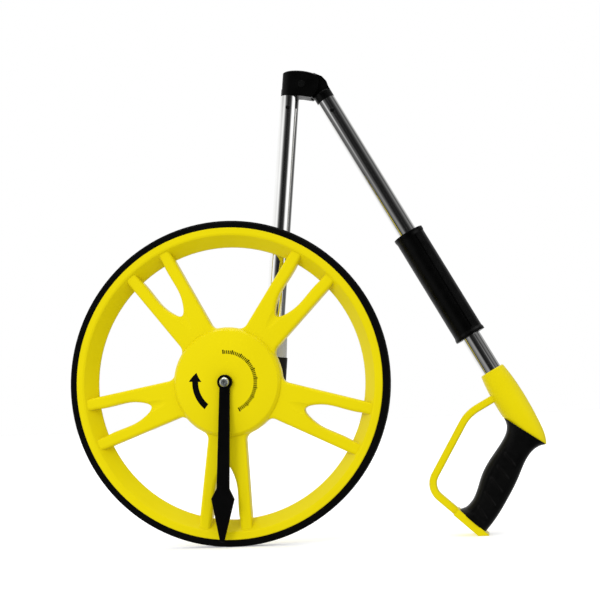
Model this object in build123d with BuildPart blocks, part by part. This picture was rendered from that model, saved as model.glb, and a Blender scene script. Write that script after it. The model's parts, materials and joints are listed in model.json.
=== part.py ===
from build123d import *
import os
from math import acos, cos, hypot, pi, radians, sin, tan

# Folding measuring wheel, stood folded on its wheel and on the heel of its handle.
# Millimetres. X runs right, towards the handle; Y runs back along the axle; Z is up.
# Depths are distances behind the tyre's front edge, positive towards the back.

# ---------------------------------------------------------------- driving dimensions
CIRCUMFERENCE = 1000.0
WHEEL_R = CIRCUMFERENCE / (2 * pi)
AXLE_X = -72.49
FRONT_Y = -27.25
AXLE_Z = WHEEL_R

WHEEL_TURN = -3.36
TYRE_WIDTH = 16.0
TYRE_SEAT_R = 152.2
RIM_INNER_R = 134.0
HUB_R = 54.0
SPOKES = 5

TUBE_R = 9.5
TUBE_WALL = 1.0
TUBE_DEPTH = 42.0
TUBE_OFFSET = 36.5
TUBE_TILT = 6.46
FOLD_ANGLE = 34.5
PIN_HEIGHT = 305.3
PIN_OFFSET = 12.5
PIN_R = 2.5

AXLE_R = 4.0
BEARING_R = 11.0
BEARING_WIDTH = 7.0
FRONT_BEARING = -4.0
REAR_BEARING = 12.0
HUB_BACK = 21.5

CASE_FRONT = 23.0
CASE_BACK = 60.0
CASE_WALL = 2.5
COVER_BACK = 63.5
CASE_LEFT = -36.0
CASE_RIGHT = 20.0
CASE_TOP = 43.5
CASE_BOTTOM = -30.0

GEAR_MODULE = 0.8
GEAR_TEETH = 32
GEAR_FRONT = 27.0
GEAR_BACK = 30.5
NUMBER_HEIGHT = GEAR_MODULE * GEAR_TEETH
NUMBER_PITCH = 5.7
NUMBER_START = 31.2
NUMBER_R = 10.8
DIGITS = 5
RING_MODULE = 0.75
RING_TEETH = 24
PINION_TEETH = 9
PINION_REACH = RING_MODULE * (RING_TEETH + PINION_TEETH) / 2

SLEEVE_TOP = -186.3
SLEEVE_BOTTOM = -305.2
SLEEVE_R = 15.0
NOSE_TOP = -344.7

CARRIER_TURN = -TUBE_TILT
ARM_TURN = FOLD_ANGLE - TUBE_TILT


# ---------------------------------------------------------------- planes and helpers
def spot(turn, across, up):
    """Row position of a point given in a frame turned about the axle."""
    angle = radians(turn)
    x = across * cos(angle) - up * sin(angle)
    z = across * sin(angle) + up * cos(angle)
    return AXLE_X + x, AXLE_Z + z


PIN_X, PIN_Z = spot(CARRIER_TURN, TUBE_OFFSET + PIN_OFFSET, PIN_HEIGHT)


def upright(depth, turn, centre):
    """Plane facing the front at this depth, its axes turned by turn degrees."""
    angle = radians(turn)
    return Plane(
        origin=(centre[0], FRONT_Y + depth, centre[1]),
        x_dir=(cos(angle), 0, sin(angle)),
        z_dir=(0, -1, 0),
    )


def wheel_face(depth):
    return upright(depth, WHEEL_TURN, (AXLE_X, AXLE_Z))


def carrier_face(depth):
    return upright(depth, CARRIER_TURN, (AXLE_X, AXLE_Z))


def arm_face(depth):
    return upright(depth, ARM_TURN, (PIN_X, PIN_Z))


def axis_at(across=0.0, up=0.0):
    """Axis parallel to the axle at a point of the carrier's frame."""
    x, z = spot(CARRIER_TURN, across, up)
    return Axis((x, FRONT_Y, z), (0, 1, 0))


def section_at(across=0.0, up=0.0):
    """Plane for a turned profile: local x is the radius and local y the depth."""
    x, z = spot(CARRIER_TURN, across, up)
    return Plane(origin=(x, FRONT_Y, z), x_dir=(0, 0, 1), z_dir=(-1, 0, 0))


def tube_across(turn, centre, across, along):
    """Plane square to a tube: its normal runs up the tube."""
    middle = upright(TUBE_DEPTH, turn, centre).from_local_coords((across, along, 0))
    up = upright(TUBE_DEPTH, turn, centre).y_dir
    return Plane(origin=middle, x_dir=(0, 1, 0), z_dir=up)


def lower_across(along):
    return tube_across(CARRIER_TURN, (AXLE_X, AXLE_Z), TUBE_OFFSET, along)


def upper_across(along):
    return tube_across(ARM_TURN, (PIN_X, PIN_Z), PIN_OFFSET, along)


def turned(points, across=0.0, up=0.0):
    """Solid of revolution about an axis parallel to the axle, from (radius, depth) points."""
    with BuildPart() as piece:
        with BuildSketch(section_at(across, up)):
            with BuildLine():
                Polyline(*points, close=True)
            make_face()
        revolve(axis=axis_at(across, up))
    return piece


def collar(inner, outer, front, back, across=0.0, up=0.0):
    """Plain round sleeve or pin between two depths."""
    return turned([(inner, front), (outer, front), (outer, back), (inner, back)], across, up)


def save(piece, name):
    piece.part.label = name
    export_step(piece.part, f"parts/{name}.step")


def half_tooth(radius, teeth, module, backlash):
    """Half the angle of an involute tooth at this radius, in radians."""
    pressure = radians(20)
    base = module * teeth / 2 * cos(pressure)
    slope = acos(min(1.0, base / max(radius, base)))
    return pi / (2 * teeth) + (tan(pressure) - pressure) - (tan(slope) - slope) - backlash


def gear_outline(teeth, module, phase, head=0.8, foot=1.15, slack=0.09):
    """Corner points of a spur gear: root, two flank points and tip on each side of a tooth."""
    pitch_r = module * teeth / 2
    backlash = slack * pi / (2 * teeth)
    radii = [pitch_r - foot * module, pitch_r - 0.5 * module, pitch_r, pitch_r + head * module]
    points = []
    for tooth in range(teeth):
        middle = radians(phase) + 2 * pi * tooth / teeth
        for side in (-1, 1):
            for radius in radii[::-side]:
                angle = middle + side * half_tooth(radius, teeth, module, backlash)
                points.append((radius * cos(angle), radius * sin(angle)))
    return points


os.makedirs("parts", exist_ok=True)

# ---------------------------------------------------------------- wheel
SPOKE_START = 40.0
SPOKE_END = 145.5
SPOKE_FRONT = 1.5
SPOKE_BACK = 13.0
SLOT_APEX = 80.5
SLOT_END = (150.5, 15.4)
SLOT_SIDE = [(134.0, 14.2), (108.0, 11.6), (90.0, 7.4)]
RIB_FOOT = 12.0
VALLEY_R = 8.0
VALLEY = ((64.0, 0.0), (90.0, -3.2))


def spoke_edge(radius):
    """Half the width over both prongs at this distance from the axle."""
    return 17.4 + 0.0895 * (radius - SPOKE_START)


with BuildPart() as spoke_wheel:
    # Spokes: each forks round a rounded slot into two prongs that end on the rim.
    with BuildSketch(wheel_face(SPOKE_BACK)) as spoke_sketch:
        Circle(HUB_R)
        with PolarLocations(0, SPOKES, start_angle=-90):
            Polygon(
                (SPOKE_START, -spoke_edge(SPOKE_START)),
                (SPOKE_END, -spoke_edge(SPOKE_END)),
                (SPOKE_END, spoke_edge(SPOKE_END)),
                (SPOKE_START, spoke_edge(SPOKE_START)),
                align=None,
            )
        fillet([v for v in spoke_sketch.vertices() if 50 < hypot(v.X, v.Y) < 62], 8)
        with BuildSketch(mode=Mode.PRIVATE) as slot:
            with BuildLine():
                mirrored = [(u, -v) for u, v in SLOT_SIDE[::-1]]
                Polyline(SLOT_SIDE[0], SLOT_END, (SLOT_END[0], -SLOT_END[1]), mirrored[-1])
                Spline(*SLOT_SIDE, (SLOT_APEX, 0), *mirrored)
            make_face()
        with PolarLocations(0, SPOKES, start_angle=-90):
            add(slot.sketch, mode=Mode.SUBTRACT)
        fillet([v for v in spoke_sketch.vertices() if hypot(v.X, v.Y) > 142], 5)
    extrude(amount=SPOKE_BACK - SPOKE_FRONT)
    fillet(faces().sort_by(Axis.Y)[0].edges(), 3.2)
    # A shallow round valley dips from the spoke's face into each slot.
    for spoke in range(SPOKES):
        angle = radians(360 / SPOKES * spoke - 90)
        ends = []
        for radius, height in VALLEY:
            point = (radius * cos(angle), radius * sin(angle), VALLEY_R + height)
            ends.append(wheel_face(SPOKE_FRONT).from_local_coords(point))
        with BuildSketch(Plane(origin=ends[0], z_dir=ends[1] - ends[0])):
            Circle(VALLEY_R)
        extrude(amount=(ends[1] - ends[0]).length, mode=Mode.SUBTRACT)
    # Hub: hollow at the back, crossed by ribs, closed in front by a shallow dome.
    with BuildSketch(wheel_face(SPOKE_BACK)):
        Circle(HUB_R - 3)
    extrude(amount=SPOKE_BACK, mode=Mode.SUBTRACT)
    with BuildSketch(wheel_face(RIB_FOOT)):
        with PolarLocations(33.5, 2 * SPOKES, start_angle=-90):
            Rectangle(37.0, 2.0)
    extrude(amount=RIB_FOOT + 5)
    with BuildSketch(section_at()):
        with BuildLine():
            Polyline((10, -5.6), (10, -20), (60, -20), (60, -0.6), (51.5, -0.6))
            ThreePointArc((51.5, -0.6), (33, -4.2), (10, -5.6))
        make_face()
    revolve(axis=axis_at(), mode=Mode.SUBTRACT)
    with BuildSketch(section_at()):
        with BuildLine():
            Polyline((HUB_R, SPOKE_BACK), (HUB_R, 3.4), (52.6, 0.0), (50.4, -2.6))
            ThreePointArc((50.4, -2.6), (33.0, -5.9), (14.0, -7.5))
            Polyline(
                (14.0, -7.5),
                (6.8, -7.5),
                (6.8, FRONT_BEARING),
                (BEARING_R, FRONT_BEARING),
                (BEARING_R, HUB_BACK),
                (16.0, HUB_BACK),
                (16.0, -4.0),
            )
            ThreePointArc((16.0, -4.0), (33.0, -2.6), (48.6, 0.6))
            Polyline((48.6, 0.6), (51.0, 4.0), (51.0, SPOKE_BACK), (HUB_R, SPOKE_BACK))
        make_face()
    revolve(axis=axis_at())
    # Rim: a flat front lip, a slope that falls back to the rear edge, and a rear channel.
    with BuildSketch(section_at()):
        with BuildLine():
            Polyline(
                (144.6, 0.0),
                (146.2, -0.8),
                (151.6, -0.8),
                (TYRE_SEAT_R, -0.2),
                (TYRE_SEAT_R, 3.0),
                (TYRE_SEAT_R - 2.6, 5.0),
                (TYRE_SEAT_R - 2.6, 11.0),
                (TYRE_SEAT_R, 13.0),
                (TYRE_SEAT_R, TYRE_WIDTH),
                (146.6, TYRE_WIDTH),
                (146.6, 6.0),
                (144.0, 6.0),
                (137.4, TYRE_WIDTH),
                (RIM_INNER_R, TYRE_WIDTH),
                (RIM_INNER_R + 0.4, 14.6),
                close=True,
            )
        make_face()
    revolve(axis=axis_at())
save(spoke_wheel, "spoke_wheel")

TREAD_EDGE = 2.0
tread = [(WHEEL_R - TREAD_EDGE, 0.0), (WHEEL_R - 0.6, 0.6), (WHEEL_R, TREAD_EDGE)]
for groove in (4.6, 8.0, 11.4):
    tread += [(WHEEL_R, groove - 0.7), (WHEEL_R - 0.8, groove - 0.4)]
    tread += [(WHEEL_R - 0.8, groove + 0.4), (WHEEL_R, groove + 0.7)]
tread += [
    (WHEEL_R, TYRE_WIDTH - TREAD_EDGE),
    (WHEEL_R - 0.6, TYRE_WIDTH - 0.6),
    (WHEEL_R - TREAD_EDGE, TYRE_WIDTH),
    (TYRE_SEAT_R, TYRE_WIDTH),
    (TYRE_SEAT_R, 13.0),
    (TYRE_SEAT_R - 2.6, 11.0),
    (TYRE_SEAT_R - 2.6, 5.0),
    (TYRE_SEAT_R, 3.0),
    (TYRE_SEAT_R, 0.2),
]
save(turned(tread), "tyre")

# ---------------------------------------------------------------- bearings
BALL_R = 1.95
BALL_PITCH = 7.75
BALLS = 7
INNER_RACE = 6.3
OUTER_RACE = 9.2
GROOVE_R = 2.05

for place, front in (("front", FRONT_BEARING), ("rear", REAR_BEARING)):
    centre = (AXLE_X, FRONT_Y + front + BEARING_WIDTH / 2, AXLE_Z)
    rings = (("inner", AXLE_R + 0.02, INNER_RACE), ("outer", OUTER_RACE, BEARING_R))
    for side, inner, outer in rings:
        with BuildPart(Plane(origin=centre, z_dir=(0, 1, 0))) as ring:
            Cylinder(outer, BEARING_WIDTH)
            Cylinder(inner, BEARING_WIDTH, mode=Mode.SUBTRACT)
            Torus(BALL_PITCH, GROOVE_R, mode=Mode.SUBTRACT)
        save(ring, f"{place}_bearing_{side}")
    with BuildPart(Plane(origin=centre, z_dir=(0, 1, 0))) as balls:
        with PolarLocations(BALL_PITCH, BALLS):
            Sphere(BALL_R)
    save(balls, f"{place}_bearing_balls")

BETWEEN_FRONT = FRONT_BEARING + BEARING_WIDTH
save(collar(9.6, BEARING_R, BETWEEN_FRONT, REAR_BEARING), "bearing_spacer")
save(collar(AXLE_R + 0.05, 6.0, BETWEEN_FRONT, REAR_BEARING), "axle_inner_spacer")
save(collar(AXLE_R + 0.05, 6.0, REAR_BEARING + BEARING_WIDTH, CASE_BACK), "axle_rear_spacer")
save(collar(AXLE_R + 0.05, 6.5, -8.5, FRONT_BEARING), "axle_front_spacer")

# ---------------------------------------------------------------- axle and pointer
AXLE_FRONT = -12.7
AXLE_END = 64.9
HEAD_BACK = 70.0
SCREW_R = 2.0
POINTER_FRONT = -12.5
POINTER_BACK = -9.5
EYE_BACK = -8.6
EYE_R = 7.3
BUTTON_FRONT = -15.5

with BuildPart() as axle:
    with BuildSketch(carrier_face(AXLE_END)):
        Circle(AXLE_R)
    extrude(amount=AXLE_END - AXLE_FRONT)
    with BuildSketch(carrier_face(HEAD_BACK)):
        RegularPolygon(6.5, 6, major_radius=False)
    extrude(amount=HEAD_BACK - AXLE_END)
    chamfer(faces().sort_by(Axis.Y)[-1].edges(), 0.6)
    with BuildSketch(carrier_face(AXLE_FRONT)):
        Circle(SCREW_R)
    extrude(amount=-12, mode=Mode.SUBTRACT)
save(axle, "axle")
save(collar(AXLE_R + 0.1, 8.0, COVER_BACK, AXLE_END), "axle_washer")

with BuildPart() as pointer:
    with BuildSketch(wheel_face(POINTER_BACK)):
        Circle(EYE_R)
        Polygon(
            (-4.95, 0),
            (-6.2, -102),
            (-11.3, -112),
            (-1.9, -153),
            (1.9, -153),
            (11.3, -112),
            (6.2, -102),
            (4.95, 0),
            align=None,
        )
    extrude(amount=POINTER_BACK - POINTER_FRONT)
    with BuildSketch(wheel_face(EYE_BACK)):
        Circle(EYE_R)
    extrude(amount=EYE_BACK - POINTER_FRONT)
    with BuildSketch(wheel_face(0)):
        Circle(AXLE_R + 0.08)
    extrude(amount=20, mode=Mode.SUBTRACT)
    chamfer(faces().sort_by(Axis.Y)[0].edges(), 0.4)
save(pointer, "pointer")

with BuildPart() as pointer_screw:
    with BuildSketch(section_at()):
        with BuildLine():
            Polyline((0, BUTTON_FRONT), (0, -1.5), (SCREW_R, -1.5), (SCREW_R, -12.75))
            Polyline((SCREW_R, -12.75), (4.75, -12.75), (4.75, -13.4))
            ThreePointArc((4.75, -13.4), (4.0, -14.9), (2.6, BUTTON_FRONT))
            Line((2.6, BUTTON_FRONT), (0, BUTTON_FRONT))
        make_face()
    revolve(axis=axis_at())
    with BuildSketch(carrier_face(BUTTON_FRONT)):
        RegularPolygon(1.5, 6, major_radius=False)
    extrude(amount=-1.8, mode=Mode.SUBTRACT)
save(pointer_screw, "pointer_screw")

# ---------------------------------------------------------------- counter
SHAFT_R = 2.0
NUMBER_BORE = SHAFT_R + 0.05
DRUM_WIDTH = 4.0
RING_WIDTH = 1.5
PINION_SHAFT_R = 1.0
NUMBER_CENTRE = spot(CARRIER_TURN, 0, NUMBER_HEIGHT)
PINION_CENTRE = spot(CARRIER_TURN, -PINION_REACH, NUMBER_HEIGHT)

with BuildPart() as drive_gear:
    with BuildSketch(carrier_face(GEAR_BACK)):
        Polygon(*gear_outline(GEAR_TEETH, GEAR_MODULE, 90), align=None)
    extrude(amount=GEAR_BACK - GEAR_FRONT)
    with BuildSketch(carrier_face(GEAR_FRONT)):
        Circle(9.5)
    extrude(amount=GEAR_FRONT - HUB_BACK)
    with BuildSketch(carrier_face(HUB_BACK)):
        Circle(BEARING_R)
    extrude(amount=2.3)
    with BuildSketch(carrier_face(GEAR_BACK)):
        Circle(6.6)
    extrude(amount=20, mode=Mode.SUBTRACT)
save(drive_gear, "drive_gear")

with BuildPart() as counter_gear:
    with BuildSketch(upright(GEAR_BACK, CARRIER_TURN, NUMBER_CENTRE)):
        half_pitch = 180 / GEAR_TEETH
        Polygon(*gear_outline(GEAR_TEETH, GEAR_MODULE, 90 + half_pitch), align=None)
        Circle(NUMBER_BORE, mode=Mode.SUBTRACT)
    extrude(amount=GEAR_BACK - GEAR_FRONT)
save(counter_gear, "counter_gear")

for digit in range(DIGITS):
    start = NUMBER_START + digit * NUMBER_PITCH
    drum_front = start + RING_WIDTH
    with BuildPart() as number_wheel:
        with BuildSketch(upright(drum_front + DRUM_WIDTH, CARRIER_TURN, NUMBER_CENTRE)):
            Circle(NUMBER_R)
        extrude(amount=DRUM_WIDTH)
        with BuildSketch(upright(drum_front, CARRIER_TURN, NUMBER_CENTRE)):
            if digit:
                Polygon(*gear_outline(RING_TEETH, RING_MODULE, 0, head=0.7), align=None)
            else:
                Circle(5.0)
        extrude(amount=RING_WIDTH if digit else drum_front - GEAR_BACK)
        with BuildSketch(upright(drum_front + DRUM_WIDTH, CARRIER_TURN, NUMBER_CENTRE)):
            Circle(NUMBER_BORE)
        extrude(amount=2 * NUMBER_PITCH, mode=Mode.SUBTRACT)
    save(number_wheel, f"number_wheel_{digit + 1}")

for pinion in range(1, DIGITS):
    back = NUMBER_START + pinion * NUMBER_PITCH + 1.25
    with BuildPart() as transfer_pinion:
        with BuildSketch(upright(back, CARRIER_TURN, PINION_CENTRE)):
            gap = 180 / PINION_TEETH
            Polygon(*gear_outline(PINION_TEETH, RING_MODULE, gap, head=0.7), align=None)
            Circle(PINION_SHAFT_R + 0.04, mode=Mode.SUBTRACT)
        extrude(amount=1.0)
    save(transfer_pinion, f"transfer_pinion_{pinion}")

SHAFT_BACK = CASE_BACK + 2
CASE_FLOOR = CASE_FRONT + CASE_WALL
save(collar(0, SHAFT_R, CASE_FLOOR, SHAFT_BACK, 0, NUMBER_HEIGHT), "number_shaft")
save(
    collar(0, PINION_SHAFT_R, NUMBER_START + 1, SHAFT_BACK, -PINION_REACH, NUMBER_HEIGHT),
    "pinion_shaft",
)

# ---------------------------------------------------------------- counter case
CASE_MIDDLE = ((CASE_LEFT + CASE_RIGHT) / 2, (CASE_TOP + CASE_BOTTOM) / 2)
CASE_WIDTH = CASE_RIGHT - CASE_LEFT
CASE_HEIGHT = CASE_TOP - CASE_BOTTOM
CASE_CORNER = 9.0
SOCKET_R = 14.8
SOCKET_TOP = 28.0
SOCKET_BOTTOM = -24.0
TUBE_FOOT = -20.0
WINDOW_HALF = 6.5
WINDOW_FRONT = 31.0
WINDOW_BACK = 58.0
LENS_THICK = 1.5
POST_R = 3.2
POST_INSET = 5.6
POSTS = [
    (CASE_LEFT + POST_INSET, CASE_BOTTOM + POST_INSET),
    (CASE_LEFT + POST_INSET, CASE_TOP - POST_INSET),
    (CASE_RIGHT - POST_INSET, CASE_BOTTOM + POST_INSET),
    (CASE_RIGHT - POST_INSET, CASE_TOP - POST_INSET),
]
LEVER_PIVOT = (-26.0, 4.0)
LEVER_FRONT = 40.0
LEVER_BACK = 46.0


def carrier_box(left, right, bottom, top, front, back, mode=Mode.ADD):
    """Block in the carrier's frame, given by its six faces."""
    with BuildSketch(carrier_face(back)) as face:
        with Locations(((left + right) / 2, (bottom + top) / 2)):
            Rectangle(right - left, top - bottom)
    extrude(face.sketch, amount=back - front, mode=mode)


with BuildPart() as counter_case:
    with BuildSketch(carrier_face(CASE_BACK)):
        with Locations(CASE_MIDDLE):
            RectangleRounded(CASE_WIDTH, CASE_HEIGHT, CASE_CORNER)
    extrude(amount=CASE_BACK - CASE_FRONT)
    fillet(faces().sort_by(Axis.Y)[0].edges(), 2.0)
    # Socket for the lower tube on the right-hand side.
    with BuildSketch(lower_across(SOCKET_BOTTOM)):
        Circle(SOCKET_R)
    extrude(amount=SOCKET_TOP - SOCKET_BOTTOM)
    carrier_box(CASE_RIGHT - 4, TUBE_OFFSET, SOCKET_BOTTOM, SOCKET_TOP - 2, 30.0, 54.0)
    with BuildSketch(carrier_face(CASE_BACK)):
        with Locations(CASE_MIDDLE):
            inner = (CASE_WIDTH - 2 * CASE_WALL, CASE_HEIGHT - 2 * CASE_WALL)
            RectangleRounded(*inner, CASE_CORNER - CASE_WALL)
    extrude(amount=CASE_BACK - CASE_FLOOR, mode=Mode.SUBTRACT)
    with BuildSketch(lower_across(TUBE_FOOT)):
        Circle(TUBE_R + 0.03)
    extrude(amount=SOCKET_TOP - TUBE_FOOT, mode=Mode.SUBTRACT)
    # Corner posts for the cover screws.
    with BuildSketch(carrier_face(CASE_BACK)):
        with Locations(*POSTS):
            Circle(POST_R)
    extrude(amount=CASE_BACK - CASE_FLOOR + 0.5)
    with BuildSketch(carrier_face(CASE_BACK)):
        with Locations(*POSTS):
            Circle(1.2)
    extrude(amount=12, mode=Mode.SUBTRACT)
    # Opening round the axle and boss for the number shaft.
    with BuildSketch(carrier_face(CASE_FLOOR)):
        Circle(14.6)
    extrude(amount=CASE_WALL + 1, mode=Mode.SUBTRACT)
    with BuildSketch(carrier_face(GEAR_FRONT - 0.2)):
        with Locations((0, NUMBER_HEIGHT)):
            Circle(4.5)
            Circle(SHAFT_R, mode=Mode.SUBTRACT)
    extrude(amount=GEAR_FRONT - 0.2 - CASE_FLOOR)
    # Window over the number wheels, with a step for the lens, and the lever's slot.
    half = WINDOW_HALF
    carrier_box(-half, half, CASE_TOP - 5, CASE_TOP + 1, WINDOW_FRONT, WINDOW_BACK, Mode.SUBTRACT)
    half = WINDOW_HALF + 2
    step = (CASE_TOP - LENS_THICK, CASE_TOP + 1, WINDOW_FRONT - 1.5, WINDOW_BACK + 1)
    carrier_box(-half, half, *step, Mode.SUBTRACT)
    carrier_box(CASE_LEFT - 1, CASE_LEFT + 3, -2.5, 9.5, 39.0, 47.0, Mode.SUBTRACT)
save(counter_case, "counter_case")

with BuildPart() as window_lens:
    half = WINDOW_HALF + 1.95
    lens = (CASE_TOP - LENS_THICK, CASE_TOP, WINDOW_FRONT - 1.45, WINDOW_BACK + 0.95)
    carrier_box(-half, half, *lens)
    fillet(faces().sort_by(Axis.Z)[-1].edges(), 0.3)
save(window_lens, "window_lens")

with BuildPart() as counter_cover:
    with BuildSketch(carrier_face(COVER_BACK)):
        with Locations(CASE_MIDDLE):
            RectangleRounded(CASE_WIDTH, CASE_HEIGHT, CASE_CORNER)
    extrude(amount=COVER_BACK - CASE_BACK)
    fillet(faces().sort_by(Axis.Y)[-1].edges(), 1.5)
    with BuildSketch(carrier_face(COVER_BACK)):
        Circle(AXLE_R + 0.05)
        with Locations(*POSTS):
            Circle(1.5)
    extrude(amount=COVER_BACK - CASE_BACK, mode=Mode.SUBTRACT)
    with BuildSketch(carrier_face(SHAFT_BACK)):
        with Locations((0, NUMBER_HEIGHT)):
            Circle(SHAFT_R)
        with Locations((-PINION_REACH, NUMBER_HEIGHT)):
            Circle(PINION_SHAFT_R)
        with Locations(LEVER_PIVOT):
            Circle(1.5)
    extrude(amount=SHAFT_BACK - CASE_BACK, mode=Mode.SUBTRACT)
save(counter_cover, "counter_cover")

with BuildPart() as cover_screws:
    with BuildSketch(carrier_face(COVER_BACK)):
        with Locations(*POSTS):
            Circle(1.2)
    extrude(amount=14)
    with BuildSketch(carrier_face(COVER_BACK + 1.8)):
        with Locations(*POSTS):
            Circle(2.7)
    extrude(amount=1.8)
    with BuildSketch(carrier_face(COVER_BACK + 1.8)):
        with Locations(*POSTS):
            Rectangle(3.2, 0.7)
            Rectangle(0.7, 3.2)
    extrude(amount=1.0, mode=Mode.SUBTRACT)
save(cover_screws, "cover_screws")

# ---------------------------------------------------------------- reset lever
with BuildPart() as reset_lever:
    with BuildSketch(carrier_face(LEVER_BACK)):
        with Locations(LEVER_PIVOT):
            Circle(4.0)
        with Locations((-34.0, 4.0)):
            Rectangle(16.0, 4.0)
    extrude(amount=LEVER_BACK - LEVER_FRONT)
    with BuildSketch(carrier_face(LEVER_BACK + 2)):
        with Locations((-43.5, 4.5)):
            RectangleRounded(7.0, 9.0, 2.0)
    extrude(amount=LEVER_BACK - LEVER_FRONT + 4)
    with BuildSketch(carrier_face(LEVER_BACK)):
        with Locations(LEVER_PIVOT):
            Circle(1.56)
    extrude(amount=LEVER_BACK - LEVER_FRONT, mode=Mode.SUBTRACT)
save(reset_lever, "reset_lever")
save(collar(0, 1.5, CASE_FLOOR, SHAFT_BACK, *LEVER_PIVOT), "reset_lever_pin")

pivot_x, pivot_z = spot(CARRIER_TURN, *LEVER_PIVOT)
with BuildPart() as reset_spring:
    with BuildLine():
        foot = (pivot_x, FRONT_Y + LEVER_BACK + 0.8, pivot_z)
        coil = Helix(1.1, 5.5, 2.6, center=foot, direction=(0, 1, 0))
    with BuildSketch(Plane(origin=coil @ 0, z_dir=coil % 0)):
        Circle(0.4)
    sweep(is_frenet=True)
save(reset_spring, "reset_spring")

# ---------------------------------------------------------------- lower tube
LOWER_FOOT = PIN_HEIGHT - 12.2
ARM_FOOT = -26.3
LOWER_RIVET = PIN_HEIGHT - 24.5
SPIGOT_R = TUBE_R - TUBE_WALL - 0.05
RIVET_R = 1.5
COLLAR_TOP = 57.0
CLAMP = (TUBE_OFFSET, 42.5, 0)


def rivet_hole(face, across, up):
    """Hole from a tube's middle out through its front."""
    with BuildSketch(face) as hole:
        with Locations((across, up)):
            Circle(RIVET_R)
    extrude(hole.sketch, amount=TUBE_R + 4, mode=Mode.SUBTRACT)


def rivet(face_at, across, up):
    """Domed blind rivet in the front of a tube."""
    with BuildPart() as piece:
        with BuildSketch(face_at(TUBE_DEPTH)):
            with Locations((across, up)):
                Circle(RIVET_R)
        extrude(amount=TUBE_R - 0.1)
        with BuildSketch(face_at(TUBE_DEPTH - TUBE_R)):
            with Locations((across, up)):
                Circle(2.2)
        extrude(amount=0.7)
        fillet(faces().sort_by(Axis.Y)[0].edges(), 0.35)
    return piece


with BuildPart() as lower_tube:
    with BuildSketch(lower_across(TUBE_FOOT)):
        Circle(TUBE_R)
        Circle(TUBE_R - TUBE_WALL, mode=Mode.SUBTRACT)
    extrude(amount=LOWER_FOOT - TUBE_FOOT)
    rivet_hole(carrier_face(TUBE_DEPTH), TUBE_OFFSET, LOWER_RIVET)
save(lower_tube, "lower_tube")
save(rivet(carrier_face, TUBE_OFFSET, LOWER_RIVET), "lower_tube_rivet")

clamp_plane = Plane(
    origin=carrier_face(57.0).from_local_coords(CLAMP),
    x_dir=(0, 1, 0),
    z_dir=carrier_face(0).x_dir,
)
with BuildPart() as tube_collar:
    with BuildSketch(lower_across(SOCKET_TOP)):
        Circle(14.0)
    with BuildSketch(lower_across(COLLAR_TOP)):
        Circle(12.8)
    loft()
    ears = (TUBE_OFFSET - 5, TUBE_OFFSET + 5, SOCKET_TOP + 4, COLLAR_TOP - 4)
    carrier_box(*ears, 50.0, 60.0)
    with BuildSketch(lower_across(SOCKET_TOP)):
        Circle(TUBE_R + 0.02)
    extrude(amount=COLLAR_TOP - SOCKET_TOP, mode=Mode.SUBTRACT)
    slit = (TUBE_OFFSET - 0.7, TUBE_OFFSET + 0.7, SOCKET_TOP - 1, COLLAR_TOP + 1)
    carrier_box(*slit, 46.0, 61.0, Mode.SUBTRACT)
    with BuildSketch(clamp_plane):
        Circle(1.6)
    extrude(amount=8, both=True, mode=Mode.SUBTRACT)
save(tube_collar, "tube_collar")

with BuildPart(clamp_plane) as collar_screw:
    Cylinder(1.55, 12)
    with Locations((0, 0, 6.3)):
        Cylinder(2.7, 2.4)
    with Locations((0, 0, 7.5)):
        Cylinder(1.2, 1.6, mode=Mode.SUBTRACT)
save(collar_screw, "collar_screw")

# ---------------------------------------------------------------- hinge
FITTING_R = 9.2
TONGUE = 4.2
SLOT = 4.5
STOP_R = 17.2
CROWN_R = 57.0
CROWN = (TUBE_OFFSET + 7.5, PIN_HEIGHT + 13.9 - CROWN_R)
KNUCKLE = 31.0
PIN_U = TUBE_OFFSET + PIN_OFFSET
HUGE = 60.0

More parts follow.
